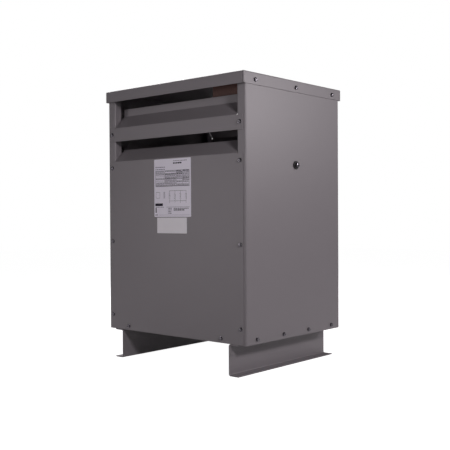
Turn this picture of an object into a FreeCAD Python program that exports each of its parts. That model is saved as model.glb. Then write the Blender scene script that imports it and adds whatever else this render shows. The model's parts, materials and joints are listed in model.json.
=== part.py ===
import FreeCAD, Part
import os
import re
import Sketcher

# Ventilated dry-type transformer in a floor-standing sheet-metal enclosure, in millimetres.
# The origin is on the floor at the middle of the plan. The front faces -Y and +X is to its right.

Vector = FreeCAD.Vector
UP = Vector(0, 0, 1)
SIDES = {-1: "left", 1: "right"}
FACES = {-1: "front", 1: "rear"}
# The steps of four things spaced evenly about their middle
FOUR_STEPS = (-1.5, -0.5, 0.5, 1.5)

DRIVING = {
    # Casing
    "body_width": 572,
    "body_depth": 469,
    "body_height": 724,
    "sheet": 1.9,
    "bend_radius": 2.6,
    "fit": 0.3,
    # Corner posts, folded from the side panels
    "post_width": 31,
    "post_lip": 26,
    # Lid
    "lid_flange": 34,
    "lid_overhang": 7.7,
    "lid_round": 3,
    "lid_seam": 2,
    # Front and rear covers, measured down from the lid's lower edge
    "top_opening": 83,
    "band_height": 43,
    "mid_opening": 63.5,
    "panel_gap": 1,
    "panel_inset": 9,
    "blade_depth": 38,
    "blade_angle": 44,
    "blade_lip": 23,
    "blade_end_gap": 4,
    # Feet
    "foot_height": 90,
    "foot_inset": 61,
    "foot_flange": 32,
    "foot_sheet": 3,
    "foot_bend": 3,
    # Base pan and its air slots
    "base_sheet": 2.5,
    "base_flange": 30,
    "slot_width": 14,
    "slot_length": 120,
    "slot_pitch": 28,
    "slot_end_margin": 16.3,
    "slot_margin": 12,
    # Hex heads of the cover screws
    "head_across": 9.5,
    "head_height": 4.8,
    "cover_screw_inset": 19.5,
    "cover_screw_top": 21.4,
    "cover_screw_low": 45.3,
    "base_screw_inset": 92,
    "base_screw_height": 13.3,
    "side_screw_pitch": 124,
    "lid_screw_inset": 43,
    "lid_screw_height": 13.7,
    # Laminated core
    "leg_width": 75,
    "stack_depth": 110,
    "yoke_height": 80,
    "window_height": 371,
    # Windings, from the leg outwards
    "core_gap": 3,
    "low_build": 13,
    "duct": 8,
    "high_build": 12,
    "phase_gap": 8,
    "tube_corner": 8,
    "stick_width": 8,
    "stick_spread": 25,
    "coil_block": 20,
    "block_width": 36,
    # Core clamps, folded channels
    "clamp_flange": 45,
    "clamp_sheet": 5,
    "clamp_margin": 12,
    "mount_margin": 22,
    # Rubber isolation pads
    "pad_height": 15,
    "pad_size": 40,
    # Bolts of the core, the clamps and the terminals
    "bolt_radius": 5,
    "bolt_play": 0.5,
    "bolt_across": 17,
    "bolt_head": 6.5,
    # Side braces, with rubber grommets in the side panels
    "brace_sheet": 4,
    "brace_height": 50,
    "brace_lap": 30,
    "grommet_radius": 12.5,
    "grommet_neck": 9,
    "grommet_outside": 3.5,
    "grommet_inside": 4,
    "brace_bolt_radius": 4,
    "brace_bolt_across": 13,
    # Barrier board behind the top opening
    "barrier_thick": 1.6,
    "barrier_reach": 127,
    "barrier_drop": 60,
    "barrier_rise": 22,
    "barrier_set_back": 4.5,
    "rivet_head": 4,
    "rivet_flat": 0.8,
    # Nameplate and sticker
    "plate_width": 154,
    "plate_height": 174,
    "plate_shift": 3,
    "plate_gap": 3.2,
    "label_thick": 0.4,
    "sticker_width": 124.5,
    "sticker_height": 47,
    "sticker_gap": 2.3,
    # Terminal boards and lead straps
    "board_thick": 6,
    "board_margin": 20,
    "strap_thick": 4,
    "strap_width": 30,
    "strap_offset": 37,
    "strap_rise": 6,
    "strap_end": 20,
    "neutral_gap": 3,
    "neutral_width": 30,
    # Tap boards on the primary coils
    "tap_board_width": 34,
    "tap_board_height": 116,
    "tap_pitch": 26,
    "tap_nut": 6,
    "tap_across": 13,
    "tap_link_width": 14,
    "tap_link_thick": 3,
    # Ground strap and lug
    "ground_shift": 6,
    "ground_width": 18,
    "ground_thick": 1.5,
    "ground_reach": 30,
    "ground_lap": 22,
    "lug_length": 24,
    "lug_height": 16,
    "lug_bore": 4.5,
}

DERIVED = {
    "half_width": "body_width / 2",
    "half_depth": "body_depth / 2",
    "lid_edge": "foot_height + body_height",
    "lid_top": "lid_edge + lid_flange",
    "ceiling": "lid_top - sheet",
    "lid_x": "half_width + fit + sheet",
    "lid_y": "half_depth + lid_overhang",
    "outer_bend": "bend_radius + sheet",
    "post_face": "half_depth - sheet",
    "post_end": "post_face - post_lip",
    "post_edge": "half_width - post_width",
    "band_top": "lid_edge - top_opening",
    "band_low": "band_top - band_height",
    "panel_top": "band_low - mid_opening",
    "panel_low": "foot_height + panel_gap",
    "panel_edge": "half_width - panel_inset",
    "blade_rise": "blade_depth / tan(blade_angle)",
    "blade_back": "half_depth - blade_depth",
    "blade_end": "post_edge - blade_end_gap",
    "mitre": "sheet * tan(blade_angle / 2)",
    "bend_start": "outer_bend * tan(blade_angle / 2)",
    "foot_web": "half_width - foot_inset",
    "foot_tip": "foot_web + foot_flange",
    "pan_top": "foot_height + base_sheet",
    "pan_x": "half_width - sheet - fit",
    "notch_x": "post_edge - fit",
    "notch_y": "post_end - fit",
    "slot_row": "notch_y - slot_end_margin - slot_length / 2",
    "cover_screw_x": "half_width - cover_screw_inset",
    "cover_screw_high_z": "panel_top - cover_screw_top",
    "cover_screw_low_z": "foot_height + cover_screw_low",
    "cover_screw_mid_z": "(cover_screw_high_z + cover_screw_low_z) / 2",
    "band_screw_z": "band_low + band_height / 2",
    "base_screw_x": "half_width - base_screw_inset",
    "base_screw_z": "foot_height + base_screw_height",
    "lid_screw_y": "half_depth - lid_screw_inset",
    "lid_screw_z": "lid_edge + lid_screw_height",
    "bolt_hole": "bolt_radius + bolt_play",
    "core_low": "pan_top + pad_height",
    "low_yoke_z": "core_low + yoke_height / 2",
    "window_low": "core_low + yoke_height",
    "window_top": "window_low + window_height",
    "brace_z": "window_top + yoke_height / 2",
    "core_top": "window_top + yoke_height",
    "coil_low": "window_low + coil_block",
    "coil_top": "window_top - coil_block",
    "coil_mid": "(coil_low + coil_top) / 2",
    "leg_half": "leg_width / 2",
    "stack_half": "stack_depth / 2",
    "low_out": "core_gap + low_build",
    "high_in": "low_out + duct",
    "high_out": "high_in + high_build",
    "leg_pitch": "leg_width + 2 * high_out + phase_gap",
    "core_half": "leg_pitch + leg_half",
    "coil_front": "stack_half + high_out",
    "clamp_back": "stack_half + clamp_sheet",
    "clamp_tip": "stack_half + clamp_flange",
    "clamp_half": "core_half + clamp_margin",
    "flange_mid": "stack_half + (clamp_sheet + clamp_flange) / 2",
    "mount_x": "foot_web + foot_flange / 2",
    "mount_half": "mount_x + mount_margin",
    "brace_out": "half_width - sheet - grommet_inside",
    "board_front": "clamp_tip + board_thick",
    "strap_front": "board_front + strap_thick",
    "low_wall": "stack_half + core_gap + low_build / 2",
    "high_wall": "stack_half + high_in + high_build / 2",
    "neutral_y": "clamp_tip + neutral_gap",
    "ground_x": "leg_pitch + ground_shift",
    "clamp_floor": "core_low + clamp_sheet",
}

os.makedirs("parts", exist_ok=True)
doc = FreeCAD.newDocument("DryTypeTransformer")
sizes = doc.addObject("Spreadsheet::Sheet", "Sizes")
for row, (alias, value) in enumerate(DRIVING.items(), start=1):
    sizes.set("A%d" % row, alias)
    sizes.set("B%d" % row, str(value))
    sizes.setAlias("B%d" % row, alias)
doc.recompute()
nodes = []


# Expressions

def expand(text):
    """Write an expression with the sheet's cells in place of the short names."""
    def swap(match):
        name = match.group(0)
        if name in DRIVING:
            return "Sizes." + name
        if name in DERIVED:
            return "(" + expand(DERIVED[name]) + ")"
        return name
    return re.sub(r"[a-z][a-z_]*", swap, text)


def number(text):
    """The present value of an expression."""
    return float(sizes.evalExpression(expand(text)))


def bind(item, prop, text):
    item.setExpression(prop, expand(text))


def times(sign, text):
    return text if sign > 0 else "-(" + text + ")"


def plus(text, more):
    return "(" + text + ") + (" + more + ")"


# Sketches and PartDesign features

def new_body(name):
    body = doc.addObject("PartDesign::Body", name)
    body.Label = name
    nodes.append(body)
    return body


def new_sketch(body, name, plane, lift="0"):
    """A sketch on one of the body's origin planes, lifted along the plane's normal."""
    sketch = body.newObject("Sketcher::SketchObject", body.Name + "_" + name)
    support = [item for item in body.Origin.OriginFeatures if item.Role == plane][0]
    sketch.AttachmentSupport = (support, [""])
    sketch.MapMode = "FlatFace"
    bind(sketch, "AttachmentOffset.Base.z", lift)
    return sketch


def hold(sketch, kind, text, *where):
    """Add a dimension and bind it to an expression."""
    index = sketch.addConstraint(Sketcher.Constraint(kind, *where, number(text)))
    bind(sketch, "Constraints[%d]" % index, text)


def pin(sketch, shape, end, u, v):
    hold(sketch, "DistanceX", u, -1, 1, shape, end)
    hold(sketch, "DistanceY", v, -1, 1, shape, end)


def draw_loop(sketch, points):
    """A closed outline of straight lines."""
    spots = [Vector(number(u), number(v), 0) for u, v in points]
    first = sketch.GeometryCount
    count = len(points)
    for here, there in zip(spots, spots[1:] + spots[:1]):
        sketch.addGeometry(Part.LineSegment(here, there))
    for index in range(count):
        after = first + (index + 1) % count
        sketch.addConstraint(Sketcher.Constraint("Coincident", first + index, 2, after, 1))
    for index, (u, v) in enumerate(points):
        pin(sketch, first + index, 1, u, v)


def draw_box(sketch, low_u, high_u, low_v, high_v):
    draw_loop(sketch, [(low_u, low_v), (high_u, low_v), (high_u, high_v), (low_u, high_v)])


def draw_circle(sketch, u, v, radius):
    middle = Vector(number(u), number(v), 0)
    index = sketch.addGeometry(Part.Circle(middle, UP, number(radius)))
    pin(sketch, index, 3, u, v)
    hold(sketch, "Radius", radius, index)


def finish(body, feature):
    body.Tip = feature
    doc.recompute()
    return feature


def pad(body, sketch, length, both_ways=False):
    feature = body.newObject("PartDesign::Pad", sketch.Name + "_pad")
    feature.Profile = sketch
    feature.Midplane = both_ways
    bind(feature, "Length", length)
    return finish(body, feature)


def pocket(body, sketch, length=None, upwards=False):
    """Cut a sketch through the whole body, or by a length, upwards or to both sides."""
    before = body.Shape.Volume
    feature = body.newObject("PartDesign::Pocket", sketch.Name + "_pocket")
    feature.Profile = sketch
    feature.Midplane = not upwards
    feature.Reversed = upwards
    if length:
        bind(feature, "Length", length)
    else:
        feature.Type = "ThroughAll"
    finish(body, feature)
    if body.Shape.Volume > before - 1:
        raise RuntimeError(feature.Name + " cuts nothing")
    return feature


def through(sheet):
    """The length of a cut that clears a sheet, whichever of its faces it starts from."""
    return "4 * " + sheet


def drill(body, name, plane, spots, radius, lift="0", length=None):
    sketch = new_sketch(body, name, plane, lift)
    for u, v in spots:
        draw_circle(sketch, u, v, radius)
    return pocket(body, sketch, length)


def round_edges(body, name, axis, spots, radius):
    """Fillet the straight edges that run along an axis through the given spots."""
    base = body.Tip
    across = [index for index in range(3) if index != axis]
    wanted = [(number(u), number(v)) for u, v in spots]
    found = []
    for index, edge in enumerate(base.Shape.Edges, start=1):
        if edge.Curve.TypeId != "Part::GeomLine" or abs(edge.Curve.Direction[axis]) < 0.999:
            continue
        here = [edge.CenterOfMass[side] for side in across]
        if any(abs(here[0] - u) < 1e-3 and abs(here[1] - v) < 1e-3 for u, v in wanted):
            found.append("Edge%d" % index)
    if not found:
        raise RuntimeError(body.Name + " has no edge for " + name)
    feature = body.newObject("PartDesign::Fillet", body.Name + "_" + name)
    feature.Base = (base, found)
    bind(feature, "Radius", radius)
    return finish(body, feature)


# Part primitives and booleans

def place(item, at, facing=UP):
    item.Placement = FreeCAD.Placement(Vector(), FreeCAD.Rotation(UP, facing))
    for axis, text in zip("xyz", at):
        bind(item, "Placement.Base." + axis, text)


def shifted(at, facing, distance):
    """A point moved by a distance along an axis direction."""
    moved = []
    for text, step in zip(at, facing):
        moved.append(plus(text, times(step, distance)) if step else text)
    return tuple(moved)


def box(name, low, size):
    item = doc.addObject("Part::Box", name)
    for prop, text in zip(("Length", "Width", "Height"), size):
        bind(item, prop, text)
    place(item, low)
    return item


def cylinder(name, at, facing, radius, length):
    item = doc.addObject("Part::Cylinder", name)
    bind(item, "Radius", radius)
    bind(item, "Height", length)
    place(item, at, facing)
    return item


def hexagon(name, at, facing, across, length):
    item = doc.addObject("Part::Prism", name)
    item.Polygon = 6
    bind(item, "Circumradius", across + " / sqrt(3)")
    bind(item, "Height", length)
    place(item, at, facing)
    return item


def fuse(name, items):
    item = doc.addObject("Part::MultiFuse", name)
    item.Shapes = items
    return item


def cut(name, base, tool):
    item = doc.addObject("Part::Cut", name)
    item.Base = base
    item.Tool = tool
    return item


def group(name, items):
    """One node that holds several separate solids."""
    item = doc.addObject("Part::Compound", name)
    item.Links = items
    nodes.append(item)
    return item


def single(item):
    nodes.append(item)
    return item


# Fasteners

def heads(name, seats, outwards, across="head_across", height="head_height"):
    """Hex heads or nuts at the given seats, each facing its own way, in one node."""
    hexagons = [hexagon("%s_%d" % (name, index + 1), seat, facing, across, height)
                for index, (seat, facing) in enumerate(zip(seats, outwards))]
    return group(name, hexagons)


def bolt(name, seat, inwards, grip, radius="bolt_radius", across="bolt_across"):
    """A hex bolt with its nut: the head sits on the seat and the nut past the grip."""
    head = hexagon(name + "_head", shifted(seat, inwards, "-bolt_head"), inwards,
                   across, "bolt_head")
    shank = cylinder(name + "_shank", seat, inwards, radius, plus(grip, "bolt_head / 2"))
    nut = hexagon(name + "_nut", shifted(seat, inwards, grip), inwards, across, "bolt_head")
    return fuse(name, [head, shank, nut])


# Enclosure

def side_panel(side):
    """One sheet folded into a side wall, two corner posts and their inward lips."""
    body = new_body("side_panel_" + SIDES[side])
    outer = [("post_edge", "-(post_end)"), ("post_edge", "-(post_face)"),
             ("half_width", "-(post_face)"), ("half_width", "post_face"),
             ("post_edge", "post_face"), ("post_edge", "post_end")]
    inner = [("post_edge + sheet", "post_end"), ("post_edge + sheet", "post_face - sheet"),
             ("half_width - sheet", "post_face - sheet"),
             ("half_width - sheet", "-(post_face - sheet)"),
             ("post_edge + sheet", "-(post_face - sheet)"), ("post_edge + sheet", "-(post_end)")]
    outer = [(times(side, x), y) for x, y in outer]
    inner = [(times(side, x), y) for x, y in inner]
    section = new_sketch(body, "section", "XY_Plane", "foot_height")
    draw_loop(section, outer + inner)
    pad(body, section, "ceiling - foot_height")
    round_edges(body, "outer_bends", 2, outer[1:5], "outer_bend")
    round_edges(body, "inner_bends", 2, inner[1:5], "bend_radius")
    drill(body, "brace_hole", "YZ_Plane", [("0", "brace_z")], "grommet_neck")


def notch_blade_ends(body, low, high):
    """Cut the blade back to a gap beside each post's lip."""
    notches = new_sketch(body, "notches", "XZ_Plane")
    beyond = "panel_edge + sheet"
    draw_box(notches, "blade_end", beyond, low, high)
    draw_box(notches, "-(" + beyond + ")", "-(blade_end)", low, high)
    pocket(body, notches)


def lower_panel(face):
    """The large cover, with its top edge folded inwards as a blade."""
    body = new_body(FACES[face] + "_panel")
    points = [("half_depth", "panel_low"), ("half_depth", "panel_top"),
              ("blade_back", "panel_top + blade_rise"),
              ("blade_back - sheet * cos(blade_angle)",
               "panel_top + blade_rise - sheet * sin(blade_angle)"),
              ("half_depth - sheet", "panel_top - mitre"), ("half_depth - sheet", "panel_low")]
    points = [(times(face, y), z) for y, z in points]
    section = new_sketch(body, "section", "YZ_Plane")
    draw_loop(section, points)
    pad(body, section, "2 * panel_edge", both_ways=True)
    round_edges(body, "outer_bend", 0, [points[1]], "outer_bend")
    round_edges(body, "inner_bend", 0, [points[4]], "bend_radius")
    notch_blade_ends(body, "panel_top - bend_start", "panel_top + blade_rise + sheet")


def louvre_band(face):
    """The narrow cover between the openings: a flat, a blade and a vertical lip."""
    body = new_body(FACES[face] + "_louvre_band")
    points = [("half_depth", "band_low"), ("half_depth", "band_top"),
              ("blade_back", "band_top + blade_rise"),
              ("blade_back", "band_top + blade_rise + blade_lip"),
              ("blade_back - sheet", "band_top + blade_rise + blade_lip"),
              ("blade_back - sheet", "band_top + blade_rise - mitre"),
              ("half_depth - sheet", "band_top - mitre"), ("half_depth - sheet", "band_low")]
    points = [(times(face, y), z) for y, z in points]
    section = new_sketch(body, "section", "YZ_Plane")
    draw_loop(section, points)
    pad(body, section, "2 * panel_edge", both_ways=True)
    round_edges(body, "outer_bends", 0, [points[1], points[5]], "outer_bend")
    round_edges(body, "inner_bends", 0, [points[2], points[6]], "bend_radius")
    notch_blade_ends(body, "band_top - bend_start", "band_top + blade_rise + blade_lip + sheet")


def lid():
    """A shallow folded pan, screwed to the side panels, with open corner seams."""
    body = new_body("lid")
    plan = new_sketch(body, "plan", "XY_Plane", "lid_edge")
    draw_box(plan, "-(lid_x)", "lid_x", "-(lid_y)", "lid_y")
    pad(body, plan, "lid_flange")
    round_edges(body, "long_bends", 0, [("-(lid_y)", "lid_top"), ("lid_y", "lid_top")], "lid_round")
    round_edges(body, "side_bends", 1, [("-(lid_x)", "lid_top"), ("lid_x", "lid_top")], "lid_round")
    inside = new_sketch(body, "inside", "XY_Plane", "lid_edge")
    draw_box(inside, "-(lid_x - sheet)", "lid_x - sheet", "-(lid_y - sheet)", "lid_y - sheet")
    pocket(body, inside, "lid_flange - sheet", upwards=True)
    seams = new_sketch(body, "seams", "XY_Plane", "lid_edge")
    for side in SIDES:
        for face in FACES:
            across = sorted((times(side, "lid_x - sheet"), times(side, "lid_x - sheet - lid_seam")),
                            key=number)
            deep = sorted((times(face, "lid_y - 2 * sheet"), times(face, "lid_y + sheet")),
                          key=number)
            draw_box(seams, across[0], across[1], deep[0], deep[1])
    pocket(body, seams, "lid_flange - lid_round", upwards=True)


def base_pan():
    """The floor of the enclosure, with upturned flanges and two rows of air slots."""
    body = new_body("base_pan")
    plan = new_sketch(body, "plan", "XY_Plane", "foot_height")
    corner = [("notch_x", "post_face"), ("notch_x", "notch_y"), ("pan_x", "notch_y")]
    quarter_turns = [(1, 1, corner), (1, -1, corner[::-1]), (-1, -1, corner), (-1, 1, corner[::-1])]
    points = []
    for side, face, spots in quarter_turns:
        points += [(times(side, x), times(face, y)) for x, y in spots]
    draw_loop(plan, points)
    pad(body, plan, "base_sheet")
    flanges = new_sketch(body, "flanges", "XY_Plane", "foot_height")
    draw_box(flanges, "-(notch_x)", "notch_x", "-(post_face)", "-(post_face - base_sheet)")
    draw_box(flanges, "-(notch_x)", "notch_x", "post_face - base_sheet", "post_face")
    draw_box(flanges, "-(pan_x)", "-(pan_x - base_sheet)", "-(notch_y)", "notch_y")
    draw_box(flanges, "pan_x - base_sheet", "pan_x", "-(notch_y)", "notch_y")
    pad(body, flanges, "base_flange")
    mounts = [(times(side, "mount_x"), times(face, "flange_mid")) for side in SIDES for face in FACES]
    drill(body, "mount_holes", "XY_Plane", mounts, "bolt_hole", "foot_height", through("base_sheet"))
    air_slots(body)


def air_slots(body):
    reach = number("foot_web - foot_sheet - slot_margin")
    pitch = number("slot_pitch")
    gaps = int((2 * reach - number("slot_width")) // pitch)
    slots = new_sketch(body, "slots", "XY_Plane", "foot_height")
    middle = "-slot_pitch * %d / 2" % gaps
    for face in FACES:
        row_y = times(face, "slot_row")
        draw_box(slots, plus(middle, "-slot_width / 2"), plus(middle, "slot_width / 2"),
                 plus(row_y, "-slot_length / 2"), plus(row_y, "slot_length / 2"))
    first = pocket(body, slots, through("base_sheet"))
    row = body.newObject("PartDesign::LinearPattern", "base_pan_slot_row")
    row.Originals = [first]
    row.Direction = (slots, ["H_Axis"])
    row.Occurrences = gaps + 1
    bind(row, "Length", "slot_pitch * %d" % gaps)
    finish(body, row)


def foot(side):
    """A folded channel that opens outwards, with the pan on its upper flange."""
    body = new_body("foot_" + SIDES[side])
    points = [("foot_web - foot_sheet", "0"), ("foot_tip", "0"), ("foot_tip", "foot_sheet"),
              ("foot_web", "foot_sheet"), ("foot_web", "foot_height - foot_sheet"),
              ("foot_tip", "foot_height - foot_sheet"), ("foot_tip", "foot_height"),
              ("foot_web - foot_sheet", "foot_height")]
    points = [(times(side, x), z) for x, z in points]
    section = new_sketch(body, "section", "XZ_Plane")
    draw_loop(section, points)
    pad(body, section, "body_depth", both_ways=True)
    round_edges(body, "outer_bends", 1, [points[0], points[7]], "foot_bend + foot_sheet")
    round_edges(body, "inner_bends", 1, points[3:5], "foot_bend")
    spots = [(times(side, "mount_x"), times(face, "flange_mid")) for face in FACES]
    drill(body, "bolt_holes", "XY_Plane", spots, "bolt_hole", "foot_height", through("foot_sheet"))


def enclosure_screws():
    """The screws of the covers, the side panels and the lid, each on its own sheet."""
    for face in FACES:
        seat_y = times(face, "half_depth")
        seats = []
        for side in SIDES:
            for level in ("cover_screw_low_z", "cover_screw_mid_z", "cover_screw_high_z", "band_screw_z"):
                seats.append((times(side, "cover_screw_x"), seat_y, level))
            seats.append((times(side, "base_screw_x"), seat_y, "base_screw_z"))
        heads(FACES[face] + "_cover_screws", seats, [Vector(0, face, 0)] * len(seats))
    lower, upper, lower_ways, upper_ways = [], [], [], []
    for side in SIDES:
        for step in FOUR_STEPS:
            lower.append((times(side, "half_width"), "%s * side_screw_pitch" % step, "base_screw_z"))
            lower_ways.append(Vector(side, 0, 0))
        for y in ("-lid_screw_y", "0", "lid_screw_y"):
            upper.append((times(side, "lid_x"), y, "lid_screw_z"))
            upper_ways.append(Vector(side, 0, 0))
    heads("side_screws", lower, lower_ways)
    heads("lid_screws", upper, upper_ways)


# Things fixed to the enclosure

def barrier_board():
    """A folded insulating board behind the top opening, riveted to the right post's lip."""
    body = new_body("barrier_board")
    leg = "post_edge + sheet"
    front = "-(blade_back - sheet - barrier_set_back)"
    leg_front = "-(post_face - sheet - bend_radius - fit)"
    points = [(leg, leg_front), (plus(leg, "barrier_thick"), leg_front),
              (plus(leg, "barrier_thick"), plus(front, "barrier_thick")),
              ("post_edge - barrier_reach", plus(front, "barrier_thick")),
              ("post_edge - barrier_reach", front), (leg, front)]
    section = new_sketch(body, "section", "XY_Plane", "lid_edge - barrier_drop")
    draw_loop(section, points)
    pad(body, section, "barrier_drop + barrier_rise")
    rivet_y = "(post_face + post_end) / -2"
    rivets = []
    for index, z in enumerate(("lid_edge - barrier_drop + barrier_rise", "lid_edge - barrier_rise / 2")):
        rivets.append(cylinder("barrier_rivets_%d" % (index + 1), ("post_edge", rivet_y, z),
                               Vector(-1, 0, 0), "rivet_head", "rivet_flat"))
    group("barrier_rivets", rivets)


def labels():
    face_y = "-(half_depth + label_thick)"
    plate_low = "panel_top - plate_gap - plate_height"
    single(box("nameplate", ("plate_shift - plate_width / 2", face_y, plate_low),
               ("plate_width", "label_thick", "plate_height")))
    single(box("lower_sticker",
               ("-sticker_width / 2", face_y, plus(plate_low, "-sticker_gap - sticker_height")),
               ("sticker_width", "label_thick", "sticker_height")))


def side_brace(side):
    """A folded strap from the upper clamps to the side panel, with its bolt and grommet."""
    body = new_body("side_brace_" + SIDES[side])
    root = "clamp_half - brace_lap"
    reach = "clamp_back + brace_sheet"
    outer = [(root, "-(" + reach + ")"), ("brace_out", "-(" + reach + ")"),
             ("brace_out", reach), (root, reach)]
    inner = [(root, "clamp_back"), ("brace_out - brace_sheet", "clamp_back"),
             ("brace_out - brace_sheet", "-(clamp_back)"), (root, "-(clamp_back)")]
    section = new_sketch(body, "section", "XY_Plane", "brace_z - brace_height / 2")
    points = [(times(side, x), y) for x, y in outer + inner]
    draw_loop(section, points)
    pad(body, section, "brace_height")
    round_edges(body, "outer_bends", 2, points[1:3], "bend_radius + brace_sheet")
    round_edges(body, "inner_bends", 2, points[5:7], "bend_radius")
    drill(body, "bolt_hole", "YZ_Plane", [("0", "brace_z")], "brace_bolt_radius + bolt_play")


def brace_grommet(side):
    """A rubber sleeve from the brace through the side panel, with a lip outside."""
    outwards = Vector(side, 0, 0)
    inner_face = times(side, "brace_out")
    name = "brace_grommet_" + SIDES[side]
    neck = cylinder(name + "_neck", (inner_face, "0", "brace_z"), outwards,
                    "grommet_neck - fit / 2", "grommet_inside + sheet + grommet_outside")
    outside = cylinder(name + "_outside", (times(side, "half_width"), "0", "brace_z"), outwards,
                       "grommet_radius", "grommet_outside")
    bore = cylinder(name + "_bore", (inner_face, "0", "brace_z"), outwards,
                    "brace_bolt_radius + fit / 2", "grommet_inside + sheet + grommet_outside")
    single(cut(name, fuse(name + "_body", [neck, outside]), bore))


def brace_bolts():
    grip = "grommet_outside + sheet + grommet_inside + brace_sheet"
    bolts = []
    for side in SIDES:
        seat = (times(side, "half_width + grommet_outside"), "0", "brace_z")
        bolts.append(bolt("brace_bolt_" + SIDES[side], seat, Vector(-side, 0, 0), grip,
                          "brace_bolt_radius", "brace_bolt_across"))
    group("brace_bolts", bolts)


# Core, clamps and what holds them

PHASES = {-1: "left", 0: "centre", 1: "right"}


def leg_x(phase):
    return "%d * leg_pitch" % phase


def core():
    """The E of lower yoke and three legs, and the upper yoke that closes it."""
    body = new_body("core_legs")
    outline = new_sketch(body, "outline", "XZ_Plane")
    points = [("-(core_half)", "core_low"), ("core_half", "core_low")]
    for phase in (1, 0, -1):
        right = plus(leg_x(phase), "leg_half")
        left = plus(leg_x(phase), "-leg_half")
        levels = ("window_low", "window_top")
        if phase < 1:
            points.append((right, levels[0]))
        points += [(right, levels[1]), (left, levels[1])]
        if phase > -1:
            points.append((left, levels[0]))
    draw_loop(outline, points)
    pad(body, outline, "stack_depth", both_ways=True)
    yoke = new_body("core_upper_yoke")
    outline = new_sketch(yoke, "outline", "XZ_Plane")
    draw_box(outline, "-(core_half)", "core_half", "window_top", "core_top")
    pad(yoke, outline, "stack_depth", both_ways=True)


def clamp(level, face):
    """A folded channel along one side of a yoke."""
    upper = level == "upper"
    low = "window_top" if upper else "core_low"
    high = "core_top" if upper else "window_low"
    half = "clamp_half" if upper else "mount_half"
    body = new_body(level + "_clamp_" + FACES[face])
    points = [("stack_half", low), ("clamp_tip", low), ("clamp_tip", plus(low, "clamp_sheet")),
              ("clamp_back", plus(low, "clamp_sheet")), ("clamp_back", plus(high, "-clamp_sheet")),
              ("clamp_tip", plus(high, "-clamp_sheet")), ("clamp_tip", high), ("stack_half", high)]
    points = [(times(face, y), z) for y, z in points]
    section = new_sketch(body, "section", "YZ_Plane")
    draw_loop(section, points)
    pad(body, section, "2 * (" + half + ")", both_ways=True)
    round_edges(body, "inner_bends", 0, points[3:5], "bend_radius")
    rods = [(times(side, "leg_pitch / 2"), times(face, "flange_mid")) for side in SIDES]
    drill(body, "rod_holes", "XY_Plane", rods, "bolt_hole", low if upper else high,
          through("clamp_sheet"))
    if not upper:
        mounts = [(times(side, "mount_x"), times(face, "flange_mid")) for side in SIDES]
        drill(body, "mount_holes", "XY_Plane", mounts, "bolt_hole", low, through("clamp_sheet"))


def yoke_bolts(level):
    """The heads and the nuts of the bolts through a yoke and its two clamps."""
    yoke_z = "brace_z" if level == "upper" else "low_yoke_z"
    seats, outwards = [], []
    for phase in PHASES:
        for face in FACES:
            seats.append((leg_x(phase), times(face, "clamp_back"), yoke_z))
            outwards.append(Vector(0, face, 0))
    heads(level + "_yoke_bolts", seats, outwards, "bolt_across", "bolt_head")


def tie_rods():
    rods = []
    for side in SIDES:
        for face in FACES:
            seat = (times(side, "leg_pitch / 2"), times(face, "flange_mid"),
                    "window_low - clamp_sheet")
            name = "tie_rod_%s_%s" % (FACES[face], SIDES[side])
            rods.append(bolt(name, seat, UP, "window_height + 2 * clamp_sheet"))
    group("tie_rods", rods)


def isolation_pad(face, side):
    name = "isolation_pad_%s_%s" % (FACES[face], SIDES[side])
    middle = (times(side, "mount_x"), times(face, "flange_mid"))
    block = box(name + "_block",
                (plus(middle[0], "-pad_size / 2"), plus(middle[1], "-pad_size / 2"), "pan_top"),
                ("pad_size", "pad_size", "pad_height"))
    bore = cylinder(name + "_bore", (middle[0], middle[1], "pan_top"), UP, "bolt_hole", "pad_height")
    single(cut(name, block, bore))


def mounting_bolts():
    grip = "foot_sheet + base_sheet + pad_height + clamp_sheet"
    bolts = []
    for side in SIDES:
        for face in FACES:
            seat = (times(side, "mount_x"), times(face, "flange_mid"), "foot_height - foot_sheet")
            bolts.append(bolt("mounting_bolt_%s_%s" % (FACES[face], SIDES[side]), seat, UP, grip))
    group("mounting_bolts", bolts)


# Windings

def winding(name, phase, inside, outside, corner):
    """A rectangular coil with round corners, measured outwards from the leg."""
    body = new_body("%s_coil_%s" % (name, PHASES[phase]))
    middle = leg_x(phase)
    plan = new_sketch(body, "plan", "XY_Plane", "coil_low")
    corners = {}
    for wall in (outside, inside):
        x = "leg_half + " + wall
        y = "stack_half + " + wall
        left, right = plus(middle, "-(" + x + ")"), plus(middle, x)
        draw_box(plan, left, right, "-(" + y + ")", y)
        corners[wall] = [(left, "-(" + y + ")"), (right, "-(" + y + ")"), (right, y), (left, y)]
    pad(body, plan, "coil_top - coil_low")
    for wall in (outside, inside):
        radius = "tube_corner + %s - core_gap" % wall
        round_edges(body, corner + "_" + ("out" if wall == outside else "in"), 2, corners[wall], radius)


def duct_sticks(phase):
    """Upright sticks that keep the air duct open between the two coils."""
    sticks = []
    for face in FACES:
        low_y = "stack_half + low_out" if face > 0 else "-(stack_half + high_in)"
        for step in (-1, 0, 1):
            x = plus(leg_x(phase), "%d * stick_spread - stick_width / 2" % step)
            name = "duct_stick_%s_%s_%d" % (PHASES[phase], FACES[face], step + 2)
            sticks.append(box(name, (x, low_y, "coil_low"),
                              ("stick_width", "duct", "coil_top - coil_low")))
    group("duct_sticks_" + PHASES[phase], sticks)


def coil_blocks(level):
    low = "window_low" if level == "lower" else "coil_top"
    blocks = []
    for phase in PHASES:
        for face in FACES:
            low_y = "stack_half + core_gap" if face > 0 else "-(clamp_tip)"
            x = plus(leg_x(phase), "-block_width / 2")
            name = "%s_coil_block_%s_%s" % (level, PHASES[phase], FACES[face])
            blocks.append(box(name, (x, low_y, low),
                              ("block_width", "clamp_flange - core_gap", "coil_block")))
    group(level + "_coil_blocks", blocks)


# Terminals

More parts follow.
